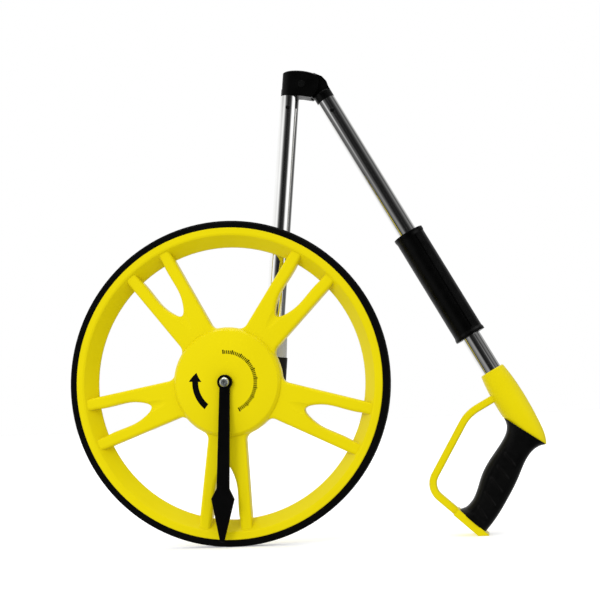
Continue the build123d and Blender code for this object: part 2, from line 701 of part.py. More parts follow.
with BuildPart() as lower_hinge:
    # Body with one round side, flush with the tube, and two flat cheeks.
    with BuildSketch(lower_across(LOWER_FOOT - 2)):
        Circle(FITTING_R)
        with Locations((0, -KNUCKLE / 2)):
            Rectangle(2 * FITTING_R, KNUCKLE)
    extrude(amount=40)
    # Side outline: gently crowned top, round knuckle about the pin.
    with BuildSketch(carrier_face(TUBE_DEPTH + HUGE / 2)):
        with Locations(CROWN):
            Circle(CROWN_R)
        with BuildSketch(mode=Mode.PRIVATE) as knuckle:
            with Locations((PIN_U, PIN_HEIGHT)):
                Circle(STOP_R)
            with Locations((PIN_U - HUGE / 2, PIN_HEIGHT)):
                Rectangle(HUGE, HUGE)
        add(knuckle.sketch, mode=Mode.INTERSECT)
        Polygon(
            (0, LOWER_FOOT),
            (PIN_U, LOWER_FOOT),
            (PIN_U + 20, LOWER_FOOT - 2.4),
            (PIN_U + 20, LOWER_FOOT - HUGE),
            (0, LOWER_FOOT - HUGE),
            align=None,
            mode=Mode.SUBTRACT,
        )
    extrude(amount=HUGE, mode=Mode.INTERSECT)
    rims = [e for e in edges() if lower_across(PIN_HEIGHT + 8).to_local_coords(e.center()).Z > 0]
    fillet([e for e in rims if abs(e.tangent_at(0.5).Y) < 0.9 or e.geom_type != GeomType.LINE], 1.5)
    # Slot that takes the other fitting's tongue, deeper where the tongue's heel comes down.
    with BuildSketch(carrier_face(TUBE_DEPTH + SLOT)):
        with Locations((PIN_U, PIN_HEIGHT + 20)):
            Rectangle(80, 40)
        with Locations((PIN_U + 20, PIN_HEIGHT)):
            Rectangle(40, 60)
        with Locations((PIN_U, PIN_HEIGHT)):
            Circle(7.6)
        with Locations((TUBE_OFFSET - 9.8, PIN_HEIGHT)):
            Rectangle(21, 10)
        # A web stays between the cheeks, below the folded tongue.
        Polygon(
            (PIN_U, LOWER_FOOT - 1),
            (PIN_U + 9.5, LOWER_FOOT - 1),
            (PIN_U, PIN_HEIGHT - 7.9),
            align=None,
            mode=Mode.SUBTRACT,
        )
    extrude(amount=2 * SLOT, mode=Mode.SUBTRACT)
    with BuildSketch(lower_across(PIN_HEIGHT - 48)):
        Circle(SPIGOT_R)
    extrude(amount=LOWER_FOOT - PIN_HEIGHT + 48)
    rivet_hole(carrier_face(TUBE_DEPTH), TUBE_OFFSET, LOWER_RIVET)
    with BuildSketch(carrier_face(TUBE_DEPTH + FITTING_R)):
        with Locations((PIN_U, PIN_HEIGHT)):
            Circle(PIN_R + 0.02)
    extrude(amount=2 * FITTING_R, mode=Mode.SUBTRACT)
save(lower_hinge, "lower_hinge")

with BuildPart() as hinge_pin:
    with BuildSketch(arm_face(TUBE_DEPTH + FITTING_R)):
        Circle(PIN_R)
    extrude(amount=2 * FITTING_R)
    for outside in (TUBE_DEPTH - FITTING_R, TUBE_DEPTH + FITTING_R + 0.6):
        with BuildSketch(arm_face(outside)):
            Circle(3.6)
        extrude(amount=0.6)
save(hinge_pin, "hinge_pin")

ARM_SHOULDER = -17.5
ARM_RIVET = -40.0

with BuildPart() as upper_hinge:
    with BuildSketch(upper_across(ARM_FOOT)):
        Circle(TUBE_R)
    extrude(amount=ARM_SHOULDER - ARM_FOOT)
    chamfer(edges().filter_by(GeomType.CIRCLE).sort_by(Axis.Z)[-1], 0.6)
    with BuildSketch(arm_face(TUBE_DEPTH + TONGUE)):
        Circle(6.6)
        Polygon(
            (2.0, -0.4),
            (12.6, -0.9),
            (16.3, 4.5),
            (21.6, -3.0),
            (22.9, -9.5),
            (21.9, -14.0),
            (21.9, -18.5),
            (3.1, -18.5),
            (-4.6, -4.6),
            align=None,
        )
    extrude(amount=2 * TONGUE)
    with BuildSketch(upper_across(-62)):
        Circle(SPIGOT_R)
    extrude(amount=62 + ARM_FOOT)
    rivet_hole(arm_face(TUBE_DEPTH), PIN_OFFSET, ARM_RIVET)
    with BuildSketch(arm_face(TUBE_DEPTH + TONGUE)):
        Circle(PIN_R + 0.05)
    extrude(amount=2 * TONGUE, mode=Mode.SUBTRACT)
save(upper_hinge, "upper_hinge")

# ---------------------------------------------------------------- upper tube and sleeve
ARM_TUBE_FOOT = -385.0
HANDLE_SCREW = NOSE_TOP - 24.0
SLEEVE_BORE = TUBE_R + 0.9
LIP_R = SLEEVE_R + 0.7
RING_SEATS = (SLEEVE_TOP - 8.0, SLEEVE_BOTTOM + 5.0)
SLEEVE_MIDDLE = (SLEEVE_TOP + SLEEVE_BOTTOM) / 2

with BuildPart() as upper_tube:
    with BuildSketch(upper_across(ARM_TUBE_FOOT)):
        Circle(TUBE_R)
        Circle(TUBE_R - TUBE_WALL, mode=Mode.SUBTRACT)
    extrude(amount=ARM_FOOT - ARM_TUBE_FOOT)
    rivet_hole(arm_face(TUBE_DEPTH), PIN_OFFSET, ARM_RIVET)
    with BuildSketch(arm_face(TUBE_DEPTH)):
        with Locations((PIN_OFFSET, HANDLE_SCREW)):
            Circle(RIVET_R)
    extrude(amount=-TUBE_R - 2, mode=Mode.SUBTRACT)
save(upper_tube, "upper_tube")
save(rivet(arm_face, PIN_OFFSET, ARM_RIVET), "upper_tube_rivet")

arm_section = arm_face(TUBE_DEPTH).shift_origin(
    arm_face(TUBE_DEPTH).from_local_coords((PIN_OFFSET, 0, 0))
)
tube_axis = Axis(arm_section.origin, arm_section.y_dir)

with BuildPart() as lock_sleeve:
    with BuildSketch(arm_section):
        with BuildLine():
            Polyline(
                (SLEEVE_BORE, SLEEVE_TOP),
                (LIP_R, SLEEVE_TOP),
                (LIP_R, SLEEVE_TOP - 2.5),
                (SLEEVE_R, SLEEVE_TOP - 5),
                (SLEEVE_R, SLEEVE_BOTTOM + 5),
                (LIP_R, SLEEVE_BOTTOM + 2.5),
                (LIP_R, SLEEVE_BOTTOM),
                (SLEEVE_BORE, SLEEVE_BOTTOM),
                close=True,
            )
        make_face()
    revolve(axis=tube_axis)
    for seat in RING_SEATS:
        with BuildSketch(upper_across(seat)):
            Circle(SLEEVE_BORE + 1)
        extrude(amount=3, mode=Mode.SUBTRACT)
    # Long narrow moulding groove on the front.
    with BuildSketch(arm_face(TUBE_DEPTH - SLEEVE_R + 1.9)):
        with Locations((PIN_OFFSET + 5.2, SLEEVE_MIDDLE)):
            SlotOverall(SLEEVE_TOP - SLEEVE_BOTTOM - 12, 1.2, rotation=90)
    extrude(amount=4, mode=Mode.SUBTRACT)
save(lock_sleeve, "lock_sleeve")

with BuildPart() as sleeve_rings:
    for seat in RING_SEATS:
        with BuildSketch(upper_across(seat + 0.1)):
            Circle(SLEEVE_BORE + 0.95)
            Circle(TUBE_R + 0.08, mode=Mode.SUBTRACT)
        extrude(amount=2.8)
save(sleeve_rings, "sleeve_rings")

# ---------------------------------------------------------------- handle
SEAM_FRONT = (-2.0, -389.1)
SEAM_BACK = (19.9, -432.6)
NOSE_BORE_FOOT = ARM_TUBE_FOOT - 0.5
GUARD_WIDTH = 7.4
GUARD_HALF = 6.0
BASE_HALF = 13.5
GRIP_HALF = 14.5
CORE_HALF = 7.0
SCREW_SEAT = 13.0
HEEL = (-75.6, -480.2)
BASE_TOP = (-88.3, -444.0)
GUARD_PATH = [(4.0, -369.0), (-29.7, -369.0), (-99.9, -411.1), HEEL]
CORE_PATH = [(9.0, -405.0), (-8.0, -421.0), (-84.0, -464.0)]
SEAM_SLOPE = (SEAM_BACK[1] - SEAM_FRONT[1]) / (SEAM_BACK[0] - SEAM_FRONT[0])


def on_seam(across):
    """Point of the slanting seam between the nose and the grip."""
    return across, SEAM_FRONT[1] + SEAM_SLOPE * (across - SEAM_FRONT[0])


def arm_bar(path, radius, width, half, mode=Mode.ADD):
    """Bar that follows a path in the arm's plane."""
    with BuildSketch(arm_face(TUBE_DEPTH + half)) as bar:
        with BuildLine():
            line = FilletPolyline(*path, radius=radius) if radius else Polyline(*path)
        trace(line, line_width=width)
    extrude(bar.sketch, amount=2 * half, mode=mode)


def below_seam(mode):
    """Space on the grip's side of the seam."""
    with BuildSketch(arm_face(TUBE_DEPTH + 30)) as side:
        Polygon(on_seam(-23), (-60, -560), (60, -560), on_seam(60), align=None)
    extrude(side.sketch, amount=60, mode=mode)


with BuildPart() as guard:
    # Knuckle guard from the nose round to the heel, joined to the frame below.
    arm_bar(GUARD_PATH, [40, 17], GUARD_WIDTH, GUARD_HALF)
    rims = faces().sort_by(Axis.Y)[0].edges() + faces().sort_by(Axis.Y)[-1].edges()
    fillet(rims, 2.4)

with BuildPart() as handle_frame:
    # Nose: a bullet round the tube, cut off by the slanting seam.
    with BuildSketch(arm_section):
        with BuildLine():
            Polyline((0, -440), (0, NOSE_TOP), (11.6, NOSE_TOP), (12.4, NOSE_TOP - 1))
            Spline(
                (12.4, NOSE_TOP - 1),
                (14.5, -366),
                (14.7, -388),
                (13.6, -408.6),
                (7.4, -433.0),
                (0, -440),
            )
        make_face()
    revolve(axis=tube_axis)
    below_seam(Mode.SUBTRACT)
    # Core that runs back through the grip to the heel.
    arm_bar(CORE_PATH, None, 2 * CORE_HALF, CORE_HALF)
    arm_bar([BASE_TOP, HEEL], None, GUARD_WIDTH, BASE_HALF)
    add(guard.part)
    with BuildSketch(upper_across(NOSE_BORE_FOOT)):
        Circle(TUBE_R + 0.03)
    extrude(amount=NOSE_TOP - NOSE_BORE_FOOT, mode=Mode.SUBTRACT)
    with BuildSketch(arm_face(TUBE_DEPTH + SCREW_SEAT)):
        with Locations((PIN_OFFSET, HANDLE_SCREW)):
            Circle(RIVET_R)
    extrude(amount=SCREW_SEAT - TUBE_R + 1, mode=Mode.SUBTRACT)
    with BuildSketch(arm_face(TUBE_DEPTH + SCREW_SEAT)):
        with Locations((PIN_OFFSET, HANDLE_SCREW)):
            Circle(2.9)
    extrude(amount=-5, mode=Mode.SUBTRACT)
    # The heel is flat where it stands on the floor.
    with BuildSketch(Plane.XY):
        Rectangle(1000, 400)
    extrude(amount=-60, mode=Mode.SUBTRACT)
save(handle_frame, "handle_frame")

with BuildPart() as handle_screw:
    with BuildSketch(arm_face(TUBE_DEPTH + SCREW_SEAT)):
        with Locations((PIN_OFFSET, HANDLE_SCREW)):
            Circle(RIVET_R)
    extrude(amount=SCREW_SEAT - TUBE_R + TUBE_WALL)
    with BuildSketch(arm_face(TUBE_DEPTH + SCREW_SEAT + 1.6)):
        with Locations((PIN_OFFSET, HANDLE_SCREW)):
            Circle(2.7)
    extrude(amount=1.6)
    with BuildSketch(arm_face(TUBE_DEPTH + SCREW_SEAT + 1.6)):
        with Locations((PIN_OFFSET, HANDLE_SCREW)):
            Rectangle(3.4, 0.7)
            Rectangle(0.7, 3.4)
    extrude(amount=1.0, mode=Mode.SUBTRACT)
save(handle_screw, "handle_screw")

GRIP_TOP = [(-4.9, -400.9), (-15.6, -409.0), (-31.9, -416.7), (-50.0, -427.6), (-67.3, -441.9)]
GRIP_UNDER = [(-57.8, -468.6), (-38.7, -458.4), (-20.0, -446.6), (-4.6, -435.6), (6.8, -430.9)]
GRIP_HEEL = [(-78.2, -445.5), (-84.6, -444.4), (-74.0, -474.9)]

with BuildPart() as rubber_grip:
    with BuildSketch(arm_face(TUBE_DEPTH + GRIP_HALF)):
        with BuildLine():
            Spline(SEAM_FRONT, *GRIP_TOP, GRIP_HEEL[0])
            Polyline(*GRIP_HEEL)
            Spline(GRIP_HEEL[-1], *GRIP_UNDER, SEAM_BACK)
            Line(SEAM_BACK, SEAM_FRONT)
        make_face()
    extrude(amount=2 * GRIP_HALF)
    long_edges = edges().filter_by(GeomType.BSPLINE)
    fillet(long_edges, 8.0)
    arm_bar(CORE_PATH, None, 2 * CORE_HALF, CORE_HALF, Mode.SUBTRACT)
    arm_bar([BASE_TOP, HEEL], None, GUARD_WIDTH, BASE_HALF + 5, Mode.SUBTRACT)
    with BuildSketch(Plane.XY):
        Rectangle(1000, 400)
    extrude(amount=-60, mode=Mode.SUBTRACT)
save(rubber_grip, "rubber_grip")
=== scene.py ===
"""Folding measuring wheel: looks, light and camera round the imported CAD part."""
import json
import math

import bmesh
import bpy
from mathutils import Matrix, Vector
from mathutils.bvhtree import BVHTree


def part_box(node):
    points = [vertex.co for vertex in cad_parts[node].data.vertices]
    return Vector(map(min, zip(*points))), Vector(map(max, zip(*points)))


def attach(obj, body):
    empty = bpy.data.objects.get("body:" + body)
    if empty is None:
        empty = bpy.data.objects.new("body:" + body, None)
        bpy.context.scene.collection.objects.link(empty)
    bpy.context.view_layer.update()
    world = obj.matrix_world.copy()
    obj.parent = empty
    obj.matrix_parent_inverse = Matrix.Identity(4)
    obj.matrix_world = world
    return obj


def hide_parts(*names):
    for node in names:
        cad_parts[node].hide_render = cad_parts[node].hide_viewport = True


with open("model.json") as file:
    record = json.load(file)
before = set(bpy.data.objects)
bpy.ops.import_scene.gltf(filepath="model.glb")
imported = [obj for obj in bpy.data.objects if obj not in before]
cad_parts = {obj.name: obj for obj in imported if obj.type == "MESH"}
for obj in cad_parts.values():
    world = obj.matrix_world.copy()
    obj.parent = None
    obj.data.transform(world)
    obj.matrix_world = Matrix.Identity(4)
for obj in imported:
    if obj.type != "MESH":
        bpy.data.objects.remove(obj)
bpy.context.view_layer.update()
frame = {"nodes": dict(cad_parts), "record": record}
nodes = frame["nodes"]

MM = 0.001

# ---------------------------------------------------------------- places
tyre_low, tyre_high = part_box("tyre")
pin_low, pin_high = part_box("hinge_pin")
AXLE = Vector(((tyre_low.x + tyre_high.x) / 2, tyre_low.y, (tyre_low.z + tyre_high.z) / 2))
PIN = Vector(((pin_low.x + pin_high.x) / 2, tyre_low.y, (pin_low.z + pin_high.z) / 2))
WHEEL_TURN = math.radians(-3.36)
CARRIER_TURN = math.radians(-6.46)
ARM_TURN = math.radians(28.04)
TUBE_DEPTH = 42.0


def turned(centre, turn, across, up, depth):
    """Row position of a point given in millimetres in a frame turned about the Y axis."""
    x = across * math.cos(turn) - up * math.sin(turn)
    z = across * math.sin(turn) + up * math.cos(turn)
    return centre + Vector((x, depth, z)) * MM


def wheel_point(across, up, depth):
    return turned(AXLE, WHEEL_TURN, across, up, depth)


def carrier_point(across, up, depth):
    return turned(AXLE, CARRIER_TURN, across, up, depth)


def arm_point(across, up, depth):
    return turned(PIN, ARM_TURN, across, up, depth)


# ---------------------------------------------------------------- materials
BEVEL_SAMPLES = 4


class Finish:
    """A material and the small set of nodes that its colour, gloss and relief come from."""

    def __init__(self, name, **constants):
        self.material = bpy.data.materials.new(name)
        self.material.use_nodes = True
        self.nodes = self.material.node_tree.nodes
        self.links = self.material.node_tree.links
        self.shader = self.nodes["Principled BSDF"]
        self.place = self.nodes.new("ShaderNodeTexCoord").outputs["Object"]
        self.height = None
        for socket, value in constants.items():
            self.shader.inputs[socket.replace("_", " ")].default_value = value

    def soften(self, radius):
        """Round the look of every edge, radius in metres. Comes before the first relief."""
        node = self.nodes.new("ShaderNodeBevel")
        node.samples = BEVEL_SAMPLES
        node.inputs["Radius"].default_value = radius
        self.height = node.outputs["Normal"]
        self.links.new(self.height, self.shader.inputs["Normal"])

    def noise(self, scale, detail=3.0, stretch=None, rough=0.5):
        """Noise pattern; scale is in lumps per metre, stretch squeezes it along X, Y, Z."""
        vector = self.place
        if stretch:
            mapping = self.nodes.new("ShaderNodeMapping")
            mapping.inputs["Scale"].default_value = stretch
            self.links.new(self.place, mapping.inputs["Vector"])
            vector = mapping.outputs["Vector"]
        node = self.nodes.new("ShaderNodeTexNoise")
        node.inputs["Scale"].default_value = scale
        node.inputs["Detail"].default_value = detail
        node.inputs["Roughness"].default_value = rough
        self.links.new(vector, node.inputs["Vector"])
        return node.outputs["Fac"]

    def ramp(self, factor, stops):
        """Colour ramp of (position, colour) stops."""
        node = self.nodes.new("ShaderNodeValToRGB")
        elements = node.color_ramp.elements
        while len(elements) < len(stops):
            elements.new(0.5)
        for element, (position, colour) in zip(elements, stops):
            element.position = position
            element.color = (*colour, 1.0)
        self.links.new(factor, node.inputs["Fac"])
        return node.outputs["Color"]

    def spread(self, factor, low, high, from_low=0.3, from_high=0.7):
        """Map a pattern to a range of numbers."""
        node = self.nodes.new("ShaderNodeMapRange")
        node.inputs["From Min"].default_value = from_low
        node.inputs["From Max"].default_value = from_high
        node.inputs["To Min"].default_value = low
        node.inputs["To Max"].default_value = high
        self.links.new(factor, node.inputs["Value"])
        return node.outputs["Result"]

    def colour(self, output):
        self.links.new(output, self.shader.inputs["Base Color"])

    def gloss(self, factor, low, high):
        self.links.new(self.spread(factor, low, high), self.shader.inputs["Roughness"])

    def relief(self, factor, distance, strength=1.0):
        """Add a layer of bump, distance in metres."""
        node = self.nodes.new("ShaderNodeBump")
        node.inputs["Distance"].default_value = distance
        node.inputs["Strength"].default_value = strength
        self.links.new(factor, node.inputs["Height"])
        if self.height:
            self.links.new(self.height, node.inputs["Normal"])
        self.height = node.outputs["Normal"]
        self.links.new(self.height, self.shader.inputs["Normal"])


def yellow_plastic():
    """Injection-moulded ABS: saturated, semi-gloss, with a faint orange-peel."""
    finish = Finish("yellow_plastic", IOR=1.5, Specular_IOR_Level=0.42)
    finish.shader.inputs["Specular Tint"].default_value = (1.0, 0.86, 0.12, 1.0)
    finish.soften(0.0013)
    broad = finish.noise(14.0, 2.0)
    shades = [(0.3, (0.765, 0.635, 0.0015)), (0.7, (0.80, 0.67, 0.002))]
    finish.colour(finish.ramp(broad, shades))
    finish.gloss(finish.noise(60.0, 4.0), 0.30, 0.42)
    finish.relief(finish.noise(350.0, 2.0), 0.00006, 0.35)
    return finish.material


def tyre_rubber():
    finish = Finish("tyre_rubber", IOR=1.48, Specular_IOR_Level=0.1)
    fine = finish.noise(900.0, 4.0)
    shades = [(0.3, (0.0012, 0.0012, 0.0010)), (0.7, (0.0026, 0.0026, 0.0022))]
    finish.colour(finish.ramp(finish.noise(40.0, 4.0), shades))
    finish.gloss(fine, 0.50, 0.72)
    finish.relief(fine, 0.00012, 0.6)
    return finish.material


def black_plastic(name="black_plastic", low=0.26, high=0.4, grain=0.00005, shade=0.0008):
    """Moulded satin black with a fine grain."""
    finish = Finish(name, IOR=1.5, Specular_IOR_Level=0.16)
    finish.soften(0.0006)
    pale = (shade * 2.0,) * 3
    finish.colour(finish.ramp(finish.noise(30.0, 3.0), [(0.3, (shade,) * 3), (0.7, pale)]))
    finish.gloss(finish.noise(120.0, 4.0), low, high)
    finish.relief(finish.noise(1400.0, 2.0), grain, 0.6)
    return finish.material


def grip_rubber():
    finish = Finish("grip_rubber", IOR=1.45, Specular_IOR_Level=0.2)
    shades = [(0.3, (0.0014, 0.0014, 0.0014)), (0.7, (0.0028, 0.0028, 0.0026))]
    finish.colour(finish.ramp(finish.noise(50.0, 4.0), shades))
    finish.gloss(finish.noise(200.0, 4.0), 0.38, 0.52)
    finish.relief(finish.noise(1800.0, 3.0), 0.00012, 0.7)
    return finish.material


def metal(name, shade, low, high, stretch=None, grain=0.00001, scale=300.0):
    """Bare or plated metal with faint drawn or turned marks."""
    finish = Finish(name, Metallic=1.0)
    marks = finish.noise(scale, 4.0, stretch)
    dark = tuple(c * 0.9 for c in shade)
    finish.colour(finish.ramp(finish.noise(20.0, 3.0), [(0.3, dark), (0.7, shade)]))
    finish.gloss(marks, low, high)
    finish.relief(marks, grain, 0.3)
    return finish.material


def moulded(name, shade, low=0.35, high=0.5):
    """Plain moulded plastic in a light colour."""
    finish = Finish(name, IOR=1.5)
    finish.soften(0.0004)
    dark = tuple(c * 0.92 for c in shade)
    finish.colour(finish.ramp(finish.noise(40.0, 3.0), [(0.3, dark), (0.7, shade)]))
    finish.gloss(finish.noise(90.0, 4.0), low, high)
    finish.relief(finish.noise(900.0, 2.0), 0.00004, 0.4)
    return finish.material


def clear_lens():
    finish = Finish("clear_lens", IOR=1.49, Transmission_Weight=0.95)
    finish.shader.inputs["Base Color"].default_value = (0.93, 0.96, 0.95, 1.0)
    scratches = finish.noise(500.0, 3.0, (1.0, 0.15, 1.0))
    finish.gloss(scratches, 0.02, 0.10)
    return finish.material


STEEL = (0.62, 0.61, 0.60)
looks = {
    "yellow_plastic": yellow_plastic(),
    "tyre_rubber": tyre_rubber(),
    "grip_rubber": grip_rubber(),
    "black_plastic": black_plastic(),
    "case_plastic": black_plastic("case_plastic", 0.42, 0.55, 0.0001, 0.006),
    "grey_plastic": moulded("grey_plastic", (0.50, 0.51, 0.53)),
    "chrome_tube": metal(
        "chrome_tube", (0.93, 0.93, 0.92), 0.03, 0.06, stretch=(1.0, 1.0, 0.06), grain=0.000004, scale=500.0
    ),
    "pointer_black": black_plastic("pointer_black", 0.45, 0.6, 0.00003, 0.0004),
    "button_steel": metal("button_steel", (0.80, 0.84, 0.83), 0.34, 0.5),
    "steel": metal("steel", STEEL, 0.2, 0.38),
    "black_steel": black_plastic("black_steel", 0.3, 0.45, 0.00002, 0.002),
    "spacer_aluminium": metal("spacer_aluminium", (0.75, 0.75, 0.77), 0.3, 0.45),
    "gear_plastic": moulded("gear_plastic", (0.80, 0.79, 0.74)),
    "digit_plastic": moulded("digit_plastic", (0.86, 0.86, 0.84)),
    "clear_lens": clear_lens(),
}


def dress(obj, slot):
    """Give an object the finish of one of the record's slots."""
    obj.data.materials.clear()
    obj.data.materials.append(looks[slot])


for part in frame["record"]["subparts"]:
    dress(nodes[part["node"]], part["material_slot"])

# ---------------------------------------------------------------- pieces made here
NUMBER_AXIS = (0.0, 25.6)
NUMBER_R = 10.8
FIRST_DIGIT_DEPTH = 33.5
DIGIT_PITCH = 5.7
DIGIT_HEIGHT = 5.0
GRIP_SEAM = ((-2.0, -389.1), (19.9, -432.6))
GRIP_HEEL = ((-84.6, -444.4), (-74.0, -474.9))
GRIP_STEPS = 170
GRIP_ROUND = 84
GRIP_RIBS = (31.0, 45.0, 58.5, 73.0, 88.0)
# The section is a superellipse of this power, and the first and last cuts are this share inside.
GRIP_POWER = 2.9
GRIP_INSET = 0.006
# Start, end and edge of the sunk panel along the grip in mm, then reach and edge across it.
GRIP_PANEL = (21.0, 97.0, 5.0)
GRIP_PANEL_ACROSS = (0.66, 0.16)
GRIP_RIB_ACROSS = (0.56, 0.14)
GRIP_RIB_SLANT = 5.0
GRIP_RIB_WIDTH = 1.9
GRIP_SINK = 0.8
GRIP_RIB_RISE = 1.05


def solid(name, slot_name, body, points, faces, smooth=True):
    """Mesh object in the row frame that rides on a body and takes a slot's finish."""
    mesh = bpy.data.meshes.new(name)
    mesh.from_pydata([tuple(p) for p in points], [], faces)
    mesh.update()
    for polygon in mesh.polygons:
        polygon.use_smooth = smooth
    obj = bpy.data.objects.new(name, mesh)
    bpy.context.scene.collection.objects.link(obj)
    dress(obj, slot_name)
    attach(obj, body)
    return obj


def hump(distance, width):
    """1 at no distance, falling smoothly to 0 at the width."""
    share = max(0.0, 1.0 - abs(distance) / width)
    return share * share * (3.0 - 2.0 * share)


def plateau(value, start, end, edge):
    """1 between start and end, with smooth edges of the given width."""
    share = min((value - start) / edge, (end - value) / edge)
    share = max(0.0, min(1.0, share))
    return share * share * (3.0 - 2.0 * share)


def middle_band(value, reach, edge):
    """1 round zero, falling to 0 at the reach on either side."""
    return plateau(value, -reach, reach, edge)


def cut_extent(node, point, across, normal):
    """Extent along across, and the two depths, of a node's section through a point."""
    mesh = nodes[node].data
    side = [(v.co - point).dot(normal) for v in mesh.vertices]
    reach, depths = [], []
    for edge in mesh.edges:
        first, second = edge.vertices
        if side[first] * side[second] < 0:
            share = side[first] / (side[first] - side[second])
            spot = mesh.vertices[first].co.lerp(mesh.vertices[second].co, share)
            reach.append((spot - point).dot(across))
            depths.append(spot.y)
    return min(reach), max(reach), min(depths), max(depths)


def make_grip():
    """Pistol grip lofted along the CAD grip, with a sunk panel and raised ribs on each cheek."""
    ends = []
    for front, back in (GRIP_SEAM, GRIP_HEEL):
        ends.append((arm_point(*front, TUBE_DEPTH), arm_point(*back, TUBE_DEPTH)))
    top = (ends[0][0] + ends[0][1]) / 2
    foot = (ends[1][0] + ends[1][1]) / 2
    top_across = (ends[0][1] - ends[0][0]).normalized()
    foot_across = (ends[1][1] - ends[1][0]).normalized()
    length = (foot - top).length / MM
    points, faces = [], []
    for step in range(GRIP_STEPS + 1):
        share = step / GRIP_STEPS
        inside = min(max(share, GRIP_INSET), 1 - GRIP_INSET)
        middle = top.lerp(foot, inside)
        across = top_across.lerp(foot_across, inside).normalized()
        normal = across.cross(Vector((0, 1, 0)))
        low, high, near, far = cut_extent("rubber_grip", middle, across, normal)
        centre = top.lerp(foot, share) + across * (low + high) / 2
        half, deep = (high - low) / 2, (far - near) / 2
        along = share * length
        for k in range(GRIP_ROUND):
            turn = 2 * math.pi * k / GRIP_ROUND
            c, s = math.cos(turn), math.sin(turn)
            a = math.copysign(abs(c) ** (2 / GRIP_POWER), c)
            b = math.copysign(abs(s) ** (2 / GRIP_POWER), s)
            panel = plateau(along, *GRIP_PANEL) * middle_band(a, *GRIP_PANEL_ACROSS)
            rib = max(hump(along - place - GRIP_RIB_SLANT * a, GRIP_RIB_WIDTH) for place in GRIP_RIBS)
            rib *= middle_band(a, *GRIP_RIB_ACROSS)
            sink = (GRIP_SINK * panel - GRIP_RIB_RISE * panel * rib) * MM
            points.append(centre + across * half * a + Vector((0, deep * b - math.copysign(sink, s), 0)))
    for step in range(GRIP_STEPS):
        for k in range(GRIP_ROUND):
            a, b = step * GRIP_ROUND + k, step * GRIP_ROUND + (k + 1) % GRIP_ROUND
            faces.append((a, b, b + GRIP_ROUND, a + GRIP_ROUND))
    last = GRIP_STEPS * GRIP_ROUND
    faces.append(tuple(range(GRIP_ROUND))[::-1])
    faces.append(tuple(last + k for k in range(GRIP_ROUND)))
    grip = solid("grip", "grip_rubber", "arm", points, faces)
    for polygon in grip.data.polygons[-2:]:
        polygon.use_smooth = False
    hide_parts("rubber_grip")


WELL_IN_FRONT = -60.0
PRINT_LIFT = 0.06


def on_hub(tree, across, up):
    """Point just in front of the hub's dome."""
    start = wheel_point(across, up, WELL_IN_FRONT)
    spot = tree.ray_cast(start, Vector((0, 1, 0)))[0]
    return spot - Vector((0, PRINT_LIFT * MM, 0))


def hub_patch(tree, points, faces, corners, steps):
    """Patch draped on the hub: corners is a function of two shares, steps its grid."""
    base = len(points)
    rows, columns = steps
    for i in range(rows + 1):
        for j in range(columns + 1):
            points.append(on_hub(tree, *corners(i / rows, j / columns)))
    for i in range(rows):
        for j in range(columns):
            a = base + i * (columns + 1) + j
            faces.append((a, a + 1, a + columns + 2, a + columns + 1))


def ring_spot(radius, degrees):
    return radius * math.cos(math.radians(degrees)), radius * math.sin(math.radians(degrees))


TICKS = 46
TICK_ARC = (96.0, -62.0)
TICK_R = (27.6, 31.0)
# Half widths in degrees of short and long ticks, and how much longer each fifth one is.
TICK_HALF = (0.95, 1.25)
TICK_GROUP = 5
LONG_TICK = 0.7
ARROW_R = (27.2, 33.4)
ARROW_TAIL, ARROW_NECK, ARROW_TIP = 232.0, 180.0, 163.0
# Half width of the arrow's head over the whole width of its shaft.
ARROW_SPREAD = 1.05


def make_hub_print():
    """Generic print on the hub: an arc of short ticks and a curved direction arrow."""
    hub = nodes["spoke_wheel"].data
    tree = BVHTree.FromPolygons([v.co for v in hub.vertices], [tuple(p.vertices) for p in hub.polygons])
    points, faces = [], []
    for tick in range(TICKS):
        middle = TICK_ARC[0] + (TICK_ARC[1] - TICK_ARC[0]) * tick / (TICKS - 1)
        half = TICK_HALF[0] if tick % TICK_GROUP else TICK_HALF[1]
        top = TICK_R[1] if tick % TICK_GROUP else TICK_R[1] + LONG_TICK

        def tick_at(i, j, middle=middle, half=half, top=top):
            return ring_spot(TICK_R[0] + (top - TICK_R[0]) * i, middle + half * (1 - 2 * j))

        hub_patch(tree, points, faces, tick_at, (2, 1))
    solid("hub_ticks", "pointer_black", "wheel", points, faces, False)
    points, faces = [], []

    def band_at(i, j):
        radius = ARROW_R[0] + (ARROW_R[1] - ARROW_R[0]) * j
        return ring_spot(radius, ARROW_TAIL + (ARROW_NECK - ARROW_TAIL) * i)

    def head_at(i, j):
        middle = (ARROW_R[0] + ARROW_R[1]) / 2
        half = (ARROW_R[1] - ARROW_R[0]) * ARROW_SPREAD * (1 - i)
        return ring_spot(middle + half * (2 * j - 1), ARROW_NECK + (ARROW_TIP - ARROW_NECK) * i)

    hub_patch(tree, points, faces, band_at, (24, 4))
    hub_patch(tree, points, faces, head_at, (10, 6))
    solid("hub_arrow", "pointer_black", "wheel", points, faces, False)


FIGURE_STRIP = 0.35
FIGURE_CUTS = 7
FIGURE_LIFT = 0.04


